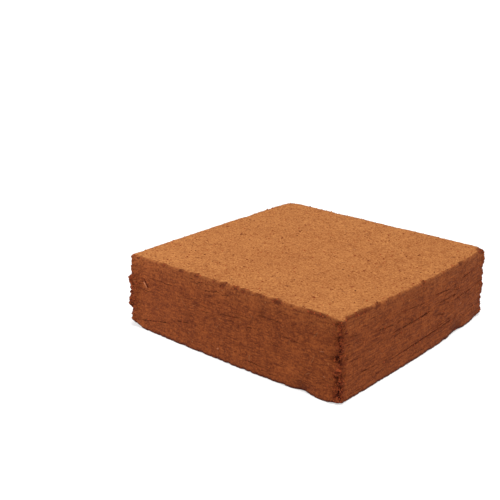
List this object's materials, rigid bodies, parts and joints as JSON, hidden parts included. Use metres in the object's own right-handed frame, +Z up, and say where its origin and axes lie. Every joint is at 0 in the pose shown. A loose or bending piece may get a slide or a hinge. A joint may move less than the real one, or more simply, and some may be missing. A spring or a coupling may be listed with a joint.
{
  "type": "coconut coir bale",
  "caption": "Square block of dry compressed coir pith for growing media and bedding, lying flat, with layered walls and crumbly corners.",
  "frame": {"origin": "centre of the base's outline, on the surface that the bale rests on", "axes": "+Z up through the thickness; X and Y along the sides of the square, -Y out of the wall left of the camera and +X out of the wall right of it"},
  "size_m": [0.3126, 0.3086, 0.0912],
  "materials": {
    "coir": "matt, crumbly, dry pressed fibre and pith"
  },
  "bodies": {
    "root": {"coir_bale": "coir"}
  },
  "joints": []
}
